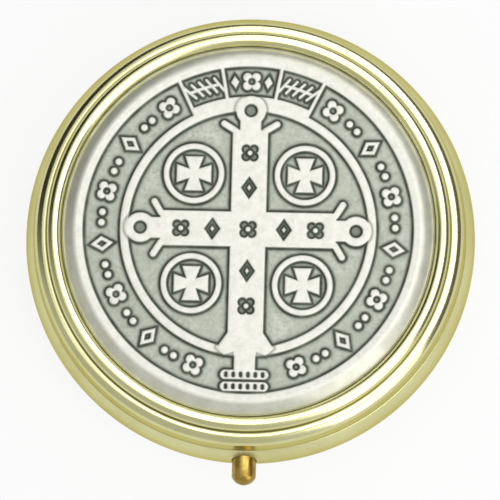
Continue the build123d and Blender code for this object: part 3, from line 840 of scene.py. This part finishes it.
# How a raised edge is cast: the wall leans from its foot in to its shoulder
wall_foot = 0.1
wall_shoulder = 0.14
crown = 0.03
crown_reach = 0.6
cross_step = 0.06

# Where soot and painted shade lie on the medal
soot_and_shade_place = 0.1
soot_and_shade_width = 0.14
soot_and_shade_fade = 0.3
soot_and_shade_power = 1.6
seam_soot_and_shade = 0.36
hole_soot_and_shade = 0.6
recess_shade_reach = 0.8
border_fade = 4  # rings of points from the polished rim to the satin border

# The medal's mesh and its bake
medal_segments = 1024
medal_ring_step = 0.1
face_bake_middle = 0.45
face_bake_radius = 0.45
under_bake_middle = 0.95
under_bake_radius = 0.045


def disc(x, y, radius):
    """Distance outside a disc, below zero inside it, as for every shape that follows."""
    return np.hypot(x, y) - radius


def slab(x, y, half_width, half_height):
    across = np.abs(x) - half_width
    along = np.abs(y) - half_height
    outside = np.hypot(np.maximum(across, 0), np.maximum(along, 0))
    return outside + np.minimum(np.maximum(across, along), 0)


def stroke(x, y, start, end, width):
    """A round-ended stroke between two points."""
    span = np.subtract(end, start)
    px, py = x - start[0], y - start[1]
    share = np.clip((px * span[0] + py * span[1]) / (span @ span), 0, 1)
    return np.hypot(px - share * span[0], py - share * span[1]) - width / 2


def lozenge(x, y, size):
    width, height = size
    return (np.abs(x) * height + np.abs(y) * width - width * height / 2) / hypot(width, height)


def open_lozenge(x, y, size, width):
    """The outline of a lozenge, with a stroke of even width."""
    solid = lozenge(x, y, size)
    return np.maximum(solid, -solid - width)


def flower(x, y, size):
    """Four petals round an open eye."""
    reach, petal, eye = size
    place = reach * sqrt(0.5)
    return np.maximum(disc(np.abs(x) - place, np.abs(y) - place, petal), -disc(x, y, eye))


def polygon(x, y, corners):
    inside = np.zeros(np.shape(x), bool)
    nearest = np.full(np.shape(x), np.inf)
    for start, end in zip(corners, corners[1:] + corners[:1]):
        nearest = np.minimum(nearest, stroke(x, y, start, end, 0))
        crosses = (start[1] > y) != (end[1] > y)
        rise = end[1] - start[1] or 1e-9
        inside ^= crosses & (x < start[0] + (y - start[1]) * (end[0] - start[0]) / rise)
    return np.where(inside, -nearest, nearest)


def on_circle(radius, angle):
    """Point at an angle clockwise from the medal's top."""
    return (radius * sin(radians(angle)), radius * cos(radians(angle)))


def seen_from(x, y, radius, angle):
    """Places seen from a point on a circle: how far along the circle and how far out."""
    turn = radians(angle)
    return x * cos(turn) - y * sin(turn), x * sin(turn) + y * cos(turn) - radius


def together(*shapes):
    return np.minimum.reduce(shapes)


def arm_end(reach, along, across):
    """Neck, boss and two horns at the end of an arm."""
    across = np.abs(across)
    root = (reach - horn_root[0], horn_root[1])
    tip = (reach - horn_tip[0], horn_tip[1])
    return together(
        stroke(along, across, (reach - neck_length, 0), (reach, 0), neck_width),
        stroke(along, across, root, tip, horn_width),
        disc(along - reach, across, boss_radius),
    )


def cross(x, y):
    """Two bars with bosses and horns at three ends, and a forked foot on a roped shaft."""
    bar_half = bar_width / 2
    top_bar = (top_boss - neck_length) / 2
    foot = [
        (-bar_half, -fork_top),
        (bar_half, -fork_top),
        (fork_reach, -ring_inner),
        (fork_reach - fork_cut, -ring_inner - fork_cut),
        (shaft_width / 2, -ring_inner - fork_notch),
        (shaft_width / 2, -rope_high),
        (-bar_half, -rope_high),
    ]
    rope_half = (rope_width - rope_height) / 2
    return together(
        slab(x, y, side_boss - neck_length, bar_half),
        slab(x, y - top_bar, bar_half, top_bar),
        slab(x, y + (fork_top + bar_overlap) / 2, bar_half, (fork_top + bar_overlap) / 2),
        polygon(x, y, foot),
        arm_end(side_boss, x, y),
        arm_end(top_boss, y, x),
        *[stroke(x, y, (0, -row), (rope_half, -row), rope_height) for row in (rope_high, rope_low)],
    )


def cross_holes(x, y):
    """Eyes in the bosses, gaps between the strands of the ropes, sunk marks along the bars."""
    yield disc(x - side_boss, y, boss_hole_radius)
    yield disc(x, y - top_boss, boss_hole_radius)
    width, height = rope_hole_size
    half = (height - width) / 2
    for n in range(rope_holes // 2):
        place = (n + 0.5) * rope_hole_pitch
        for row in (rope_high, rope_low):
            yield stroke(x, y, (place, -row - half), (place, -row + half), width)
    yield flower(x, y, mark_flower)
    yield open_lozenge(x - marks_across[0], y, mark_lozenge, mark_stroke)
    yield open_lozenge(x, np.abs(y) - marks_along[0], mark_lozenge, mark_stroke)
    yield flower(x - marks_across[1], y, mark_flower)
    yield flower(x, np.abs(y) - marks_along[1], mark_flower)


def inner_ring(x, y):
    """The inner ring, wider below the three top panels."""
    out = np.hypot(x, y)
    side = np.degrees(np.arctan2(x, y)) - top_band_angle
    panel_side = np.maximum(out - panel_inner, np.radians(side) * out)
    return np.maximum(np.minimum(out - ring_outer, panel_side), ring_inner - out)


def top_panels(x, y):
    """Bars between the top panels, branches in the side ones and a flower in the middle one."""
    for angle in (panel_angle, top_band_angle):
        along, out = seen_from(x, y, band_middle, angle)
        yield slab(along, out, divider_width / 2, (band_width + divider_width) / 2)
    width, length = branch_stroke
    half = (length - width) / 2
    stations = np.linspace(branch_start, branch_end, branch_strokes)
    for angle in stations:
        place = np.array(on_circle(panel_middle, angle))
        lean = np.array(on_circle(half, angle + branch_stroke_lean))
        yield stroke(x, y, place - lean, place + lean, width)
    for here, there in zip(stations, stations[1:]):
        yield stroke(x, y, on_circle(panel_middle, here), on_circle(panel_middle, there), branch_stem)
    yield lozenge(*seen_from(x, y, panel_middle, small_lozenge_angle), small_lozenge)
    yield flower(x, y - panel_middle, band_flower)


def roundel(x, y):
    """A ring round a flared crosslet."""
    middle = roundel_radius - roundel_ring / 2
    ring = np.abs(np.hypot(x, y) - middle) - roundel_ring / 2
    along = np.maximum(np.abs(x), np.abs(y))
    across = np.minimum(np.abs(x), np.abs(y))
    slope = (crosslet_flare - crosslet_waist) / crosslet_arm
    side = (across - crosslet_waist - slope * along) * cos(atan(slope))
    return together(ring, np.maximum(side, along - crosslet_arm))


def band(x, y):
    """Round the band: flowers and open lozenges in turn, with a pair of dots between."""
    stations = np.linspace(band_start, band_end, band_count)
    for n, angle in enumerate(stations):
        along, out = seen_from(x, y, band_middle, angle)
        if n % 2:
            yield open_lozenge(along, out, lozenge_size, lozenge_stroke)
        else:
            yield flower(along, out, band_flower)
    for here, there in zip(stations, stations[1:]):
        along, out = seen_from(x, y, band_middle, (here + there) / 2)
        yield disc(np.abs(along) - dot_spread / 2, out, dot_radius)


def cast(distance):
    """How far up a leaning wall a place stands: none on the ground, one on what is raised."""
    share = np.clip((wall_foot - distance) / (wall_foot + wall_shoulder), 0, 1)
    return share * share * (3 - 2 * share)


def sooted_and_shaded(distance):
    """Soot with painted shade along the foot of a raised edge, fading out over the ground."""
    off = distance - soot_and_shade_place
    return np.exp(-np.abs(off / np.where(off > 0, soot_and_shade_fade, soot_and_shade_width)) ** soot_and_shade_power)


def relief_face(x, y):
    """Height of the cast face above its ground, with the marks for its finish and for its painted shade.
    """
    x = np.abs(x)
    holes = np.minimum.reduce(list(cross_holes(x, y)))
    figure = np.maximum(cross(x, y), -holes)
    others = together(
        np.maximum(inner_ring(x, y), -holes),
        roundel(x - roundel_place, np.abs(y) - roundel_place),
        *top_panels(x, y),
        *band(x, y),
        rim_inner - np.hypot(x, y),
    )
    nearest = together(figure, others)
    seam = seam_soot_and_shade * sooted_and_shaded(figure)
    edge_fall = crown * np.exp(np.minimum(nearest, 0) / crown_reach)
    height = np.maximum(relief * cast(figure), (relief - cross_step) * cast(others)) - edge_fall
    marks = {
        "rise": np.maximum(cast(figure), cast(others) - seam),
        # soot with painted shade at the foot of each raised edge, along the seam and in the holes
        "soot_and_shade": np.maximum.reduce([sooted_and_shaded(nearest), seam, hole_soot_and_shade * cast(holes)]),
        # painted shade: darkest next to a raised edge, fading out over the open ground
        "recess_shade": np.exp(-np.maximum(nearest, 0) / recess_shade_reach),
    }
    return height, marks


def medal_outline(radii):
    """Face of the medal, its swelling border, its edge and its underside."""
    edge_top = medal_under + medal_edge
    edge_radius = recess_radius - medal_gap
    swell_radius = (edge_radius + rim_outer + border_round) / 2
    swell_height = (edge_top + relief_top + border_round) / 2
    swell = (swell_radius, swell_height)
    border = curve_through((rim_outer, relief_top), swell, (edge_radius, edge_top), 16)
    edge = eased([*border[-2:], (edge_radius, medal_under), (0, medal_under)], medal_gap)
    face = [(radius, relief_top) for radius in radii]
    return [*face, *border[1:-1], *edge[1:-1], (0, medal_under)]


def make_medal():
    """The cast medal: its ground and relief on fine rings, then border, edge and underside."""
    radii = np.linspace(0, rim_outer, round(rim_outer / medal_ring_step) + 1)
    rings = turned(medal_outline(radii), medal_segments)
    face = rings[: len(radii)]
    height, face_marks = relief_face(face[..., 0], face[..., 1])
    off_edge = np.clip((rim_outer - radii) / crown_reach, 0, 1)[:, None]
    face[..., 2] = relief_top + (height - relief) * off_edge
    beyond = np.arange(len(rings) - len(radii)) + 1
    full = np.ones((len(beyond), medal_segments))
    marks = {name: np.concatenate([mark, full]) for name, mark in face_marks.items()}
    marks["border"] = np.zeros(rings.shape[:2])
    marks["border"][len(radii):] = np.minimum(beyond / border_fade, 1)[:, None]
    mesh = ring_mesh("medal_cast", rings, medal_bake(rings), marks)
    carry(add_piece(mesh, pewter), "lid", "medal")


def medal_bake(rings):
    """Bake coordinates: the face of the medal laid flat, its underside small in a corner."""
    under = rings[..., 2:] < medal_under + edge_round / 2
    middle = np.where(under, under_bake_middle, face_bake_middle)
    size = np.where(under, under_bake_radius, face_bake_radius) / medal_radius
    flat = middle + size * rings[..., :2]
    flat = np.concatenate([flat, flat[:, :1]], axis=1)
    return np.concatenate([flat, flat[:1]], axis=0)


make_medal()


# Hinge, catch and springs

soft_edge = 0.06
cement_edge = 0.02
soft_edge_angle = 40.0


def dress(node, finish, width):
    """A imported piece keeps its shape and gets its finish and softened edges."""
    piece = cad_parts[node]
    for place in piece.material_slots:
        place.material = finish
    edges = piece.modifiers.new("soft edges", "BEVEL")
    edges.width = width * MM
    edges.segments = 2
    edges.limit_method = "ANGLE"
    edges.angle_limit = radians(soft_edge_angle)


for node in ("base_hinge_leaf", "lid_hinge_leaf", "lid_catch"):
    dress(node, inner_gold, soft_edge)
dress("hinge_pin", steel, soft_edge)
dress("medal_cement", bedding, cement_edge)

rivet_radius = 0.35
rivet_head_radius = 0.55
rivet_head = 0.22
rivet_segments = 48


def make_rivets(node, body, head_up):
    """A left and a right rivet, each with a low domed head."""
    low, high = node_box(node)
    length = high.z - low.z
    outline = [
        *dome(rivet_head_radius, rivet_head, 8),
        (rivet_radius, rivet_head),
        (rivet_radius, length),
        (0, length),
    ]
    outline = eased(outline, edge_round / 2)
    x, y, z = np.moveaxis(turned(outline, rivet_segments), 2, 0)
    height = high.z - z if head_up else low.z + z
    middle = (low.y + high.y) / 2
    places = {"left": low.x + rivet_head_radius, "right": high.x - rivet_head_radius}
    for side, place in places.items():
        rings = np.stack([place + x, middle + y, height], axis=2)
        mesh = ring_mesh(f"{node}_{side}", rings, unrolled(outline, rivet_segments))
        carry(add_piece(mesh, inner_gold), body, node)


make_rivets("base_hinge_rivets", "base", True)
make_rivets("latch_rivets", "base", True)
make_rivets("lid_hinge_rivets", "lid", False)
make_rivets("lid_catch_rivets", "lid", False)

spring_wire = 0.3
spring_gap = 0.1
spring_turns = 3.444
spring_room = 0.35
spring_leg = 1.8
spring_first = 270.0
spring_steps = 48  # to a turn
spring_leg_shares = (0.33, 0.66, 0.98, 1.0)
spring_end = 0.8  # share of the wire's width at its ends
wire_sides = 14


def make_hinge_spring():
    """A torsion coil on the pin: one leg on the ledge and one under the lid's leaf."""
    coil_radius = pin_radius + spring_gap + spring_wire / 2
    half_width = lid_knuckle_end - lid_knuckle - spring_room
    count = round(spring_steps * spring_turns)
    turns = radians(spring_first) + np.linspace(0, 2 * pi * spring_turns, count)
    x = np.linspace(-half_width, half_width, count)
    y = hinge_y + coil_radius * np.cos(turns)
    z = hinge_z + coil_radius * np.sin(turns)
    coil = np.stack([x, y, z], axis=1)
    base_leg = hinge_y - base_leaf_low.y - base_leaf_strip
    first_way = (coil[0] - coil[1]) / np.linalg.norm(coil[0] - coil[1])
    last_way = (coil[-1] - coil[-2]) / np.linalg.norm(coil[-1] - coil[-2])
    first_leg = [coil[0] + first_way * base_leg * share for share in spring_leg_shares[::-1]]
    last_leg = [coil[-1] + last_way * spring_leg * share for share in spring_leg_shares]
    path = [*first_leg, *coil, *last_leg]
    widths = np.full(len(path), spring_wire / 2)
    widths[[0, -1]] *= spring_end
    spring = add_piece(wire_mesh("hinge_spring_wound", np.array(path), widths), steel)
    bend(spring, "hinge_spring")


def wire_mesh(name, path, widths):
    """A closed round wire along a path, with a radius for each point."""
    ways = np.gradient(path, axis=0)
    ways /= np.linalg.norm(ways, axis=1)[:, None]
    over = np.cross(ways, (1.0, 0.0, 0.0))
    over /= np.linalg.norm(over, axis=1)[:, None]
    out = np.cross(over, ways)
    angles = np.linspace(0, 2 * pi, wire_sides, endpoint=False)[None, :, None]
    circle = np.cos(angles) * over[:, None] + np.sin(angles) * out[:, None]
    skin = path[:, None] + widths[:, None, None] * circle
    first_end, last_end = [np.repeat(path[[n], None], wire_sides, axis=1) for n in (0, -1)]
    rings = np.concatenate([first_end, skin, last_end])
    length = np.stack([np.linspace(0, 1, len(rings)), np.zeros(len(rings))], axis=1)
    return ring_mesh(name, rings, unrolled(length, wire_sides))


make_hinge_spring()

latch_strip_height = 1.8
latch_ear = 1.8
latch_tongue_half = 2.0
latch_arm_width = 1.0
latch_lip_height = 0.25
latch_overlap = 0.35
latch_bend = 0.12
latch_stem_gap = 0.06
latch_anchor = 4.2
latch_plate_stations = 30
latch_ear_stations = 8
latch_arm_stations = 6
latch_tongue_stations = 10


def folded(path, start, end, thickness, stations):
    """A strip of sheet folded along a path of (y, z) points, from one x to another."""
    points = [Vector(point) for point in path]
    sides = []
    for side in (1, -1):
        offsets = []
        for n, point in enumerate(points):
            before = (point - points[n - 1]).normalized() if n else None
            after = (points[n + 1] - point).normalized() if n + 1 < len(points) else None
            ways = [way for way in (before, after) if way]
            normal = sum((Vector((-way.y, way.x)) for way in ways), Vector((0, 0))).normalized()
            reach = thickness / 2 / normal.dot(Vector((-ways[0].y, ways[0].x)))
            offsets.append(point + normal * reach * side)
        sides.append(offsets)
    # Corners near the axis stay sharp, so the outline is eased away from it and brought back
    outline = eased([(p.x + case_radius, p.y) for p in sides[0] + sides[1][::-1]], latch_bend / 2)
    section = np.array(outline) - (case_radius, 0)
    return np.array([[(x, y, z) for y, z in section] for x in np.linspace(start, end, stations)])


def add_prism(work, rings):
    """Add like outlines in a row to a mesh, joined side to side and filled at both ends."""
    rows = [[work.verts.new(Vector(point) * MM) for point in ring] for ring in rings]
    for near, far in zip(rows, rows[1:]):
        for n in range(len(near)):
            work.faces.new((near[n - 1], near[n], far[n], far[n - 1]))
    work.faces.new(rows[0])
    work.faces.new(rows[-1][::-1])


def make_latch(side):
    """Half of the pressed latch strip: plate, riveted ear, arm and hooked tongue."""
    out = -1 if side == "left" else 1
    half_sheet = latch_sheet / 2
    middle = latch_low.y + half_sheet
    strip_top = latch_low.z + latch_strip_height
    ear_height = ledge_under - half_sheet
    arm_height = strip_top - half_sheet
    tongue_place = catch_lip_in + 2 * latch_gap + half_sheet
    lip_height = ledge_under - latch_gap - latch_lip_height / 2
    lip_out = catch_lip_in - latch_overlap
    plate = [(middle, latch_low.z), (middle, strip_top)]
    ear = [(middle, strip_top), (middle, ear_height), (latch_high.y, ear_height)]
    arm = [(middle + half_sheet, arm_height), (tongue_place - half_sheet, arm_height)]
    tongue = [(tongue_place, strip_top - latch_sheet), (tongue_place, lip_height), (lip_out, lip_height)]
    folds = [
        (plate, 0, latch_high.x, latch_plate_stations),
        (ear, latch_high.x - latch_ear, latch_high.x, latch_ear_stations),
        (arm, latch_tongue_half - latch_arm_width, latch_tongue_half, latch_arm_stations),
        (tongue, 0, latch_tongue_half, latch_tongue_stations),
    ]
    work = bmesh.new()
    for path, start, end, stations in folds:
        rings = folded(path, start, end, latch_sheet, stations)
        rings[..., 0] *= out
        add_prism(work, rings)
    bmesh.ops.recalc_face_normals(work, faces=work.faces)
    mesh = bpy.data.meshes.new(f"latch_spring_{side}")
    work.to_mesh(mesh)
    work.free()
    mesh.shade_smooth()
    latch = add_piece(mesh, steel)
    stem_hole = button_stem_radius + latch_stem_gap
    cut(latch, bore(stem_hole, latch_low.y - cut_reach, latch_low.y + cut_reach, button_height))
    start, end = [(out * x, middle, button_height) for x in (latch_anchor, latch_tongue_half)]
    bend(latch, "latch_spring")


make_latch("left")
make_latch("right")


# Floor, light and camera

floor_half = 1200.0
floor_pale = (0.94, 0.94, 0.94, 1.0)
floor_white = 0.85  # share of plain white in what is seen of the floor
white = (1.0, 1.0, 1.0, 1.0)


def pale_floor():
    """A pale floor that shows white, and still takes the pyx's shadow."""
    material = bpy.data.materials.new("pale floor")
    nodes = Nodes(material)
    matte = nodes.add("ShaderNodeBsdfDiffuse", {}, {"Color": floor_pale})
    plain = nodes.add("ShaderNodeEmission", {}, {"Color": white, "Strength": 1.0})
    seen = nodes.rays("Camera", "Glossy", "Transmission").step(0.0, 1.0)
    surface = nodes.add("ShaderNodeMixShader", {}, {0: floor_white * seen, 1: matte, 2: plain})
    nodes.put(nodes.tree.nodes["Material Output"].inputs["Surface"], surface)
    return material


def make_floor():
    mesh = bpy.data.meshes.new("floor")
    reach = floor_half * MM
    corners = [(-reach, -reach, 0), (reach, -reach, 0), (reach, reach, 0), (-reach, reach, 0)]
    mesh.from_pydata(corners, [], [(0, 1, 2, 3)])
    add_piece(mesh, pale_floor())


make_floor()

studio_dark = 0.03
studio_right = 0.1
studio_front = 0.6
front_left_way = (-0.34, -0.94)


def studio_world():
    """A studio that is mid grey to the front left, dim to the right and nearly black elsewhere."""
    world = bpy.data.worlds.new("studio")
    bpy.context.scene.world = world
    nodes = Nodes(world)
    x, y, z = nodes.axes(nodes.add("ShaderNodeTexCoord", {}, {}, "Generated"))
    level = (1.0001 - z * z) ** 0.5  # a little over the true length, which is 0 straight up
    right = (x / level).step(-0.5, 0.5)
    front_left = ((x * front_left_way[0] + y * front_left_way[1]) / level).step(0.0, 0.6)
    wall = studio_dark + studio_right * right + studio_front * front_left
    seen = nodes.rays("Camera")
    background = nodes.tree.nodes["Background"]
    nodes.put(background.inputs["Color"], white)
    nodes.put(background.inputs["Strength"], wall * (1 - seen) + seen)


studio_world()


def softbox(name, place, aim, size, glow, matte=True):
    """A rectangular softbox with an even glow, turned to a point. Without matte it shows only in gloss."""
    lamp = bpy.data.lights.new(name, "AREA")
    lamp.shape = "RECTANGLE"
    lamp.size, lamp.size_y = size[0] * MM, size[1] * MM
    lamp.energy = glow * pi * lamp.size * lamp.size_y
    box = put_in_scene(name, lamp)
    turn = (Vector(place) - Vector(aim)).to_track_quat("Z", "Y").to_matrix().to_4x4()
    box.matrix_world = Matrix.Translation(Vector(place) * MM) @ turn
    box.visible_camera = False
    box.visible_diffuse = matte


softbox("overhead softbox", (50, 280, 300), (50, 280, 0), (500, 720), 0.92)
softbox("overhead glint", (120, 280, 301), (120, 280, 0), (360, 720), 2.0, matte=False)
softbox("front right softbox", (180, -180, 190), (0, 0, 60), (190, 360), 2.2)

# The view of the photograph
view_azimuth = 13.4
view_elevation = 80.8
view_roll = -1.5
view_distance = 600.0
view_width = 60.63
view_aim = (-0.19, -0.41, 0.0)
view_near = 10.0


def place_camera():
    azimuth, elevation, roll = radians(view_azimuth), radians(view_elevation), radians(view_roll)
    back = Vector((sin(azimuth) * cos(elevation), -cos(azimuth) * cos(elevation), sin(elevation)))
    up = Vector((sin(roll), cos(roll), 0))
    up = (up - up.dot(back) * back).normalized()
    turn = Matrix((up.cross(back), up, back)).transposed().to_4x4()
    camera = put_in_scene("camera", bpy.data.cameras.new("camera"))
    camera.matrix_world = Matrix.Translation((Vector(view_aim) + back * view_distance) * MM) @ turn
    camera.data.lens = camera.data.sensor_width * view_distance / view_width
    camera.data.clip_start = view_near * MM
    bpy.context.scene.camera = camera


place_camera()
bpy.context.scene.view_settings.view_transform = "Standard"
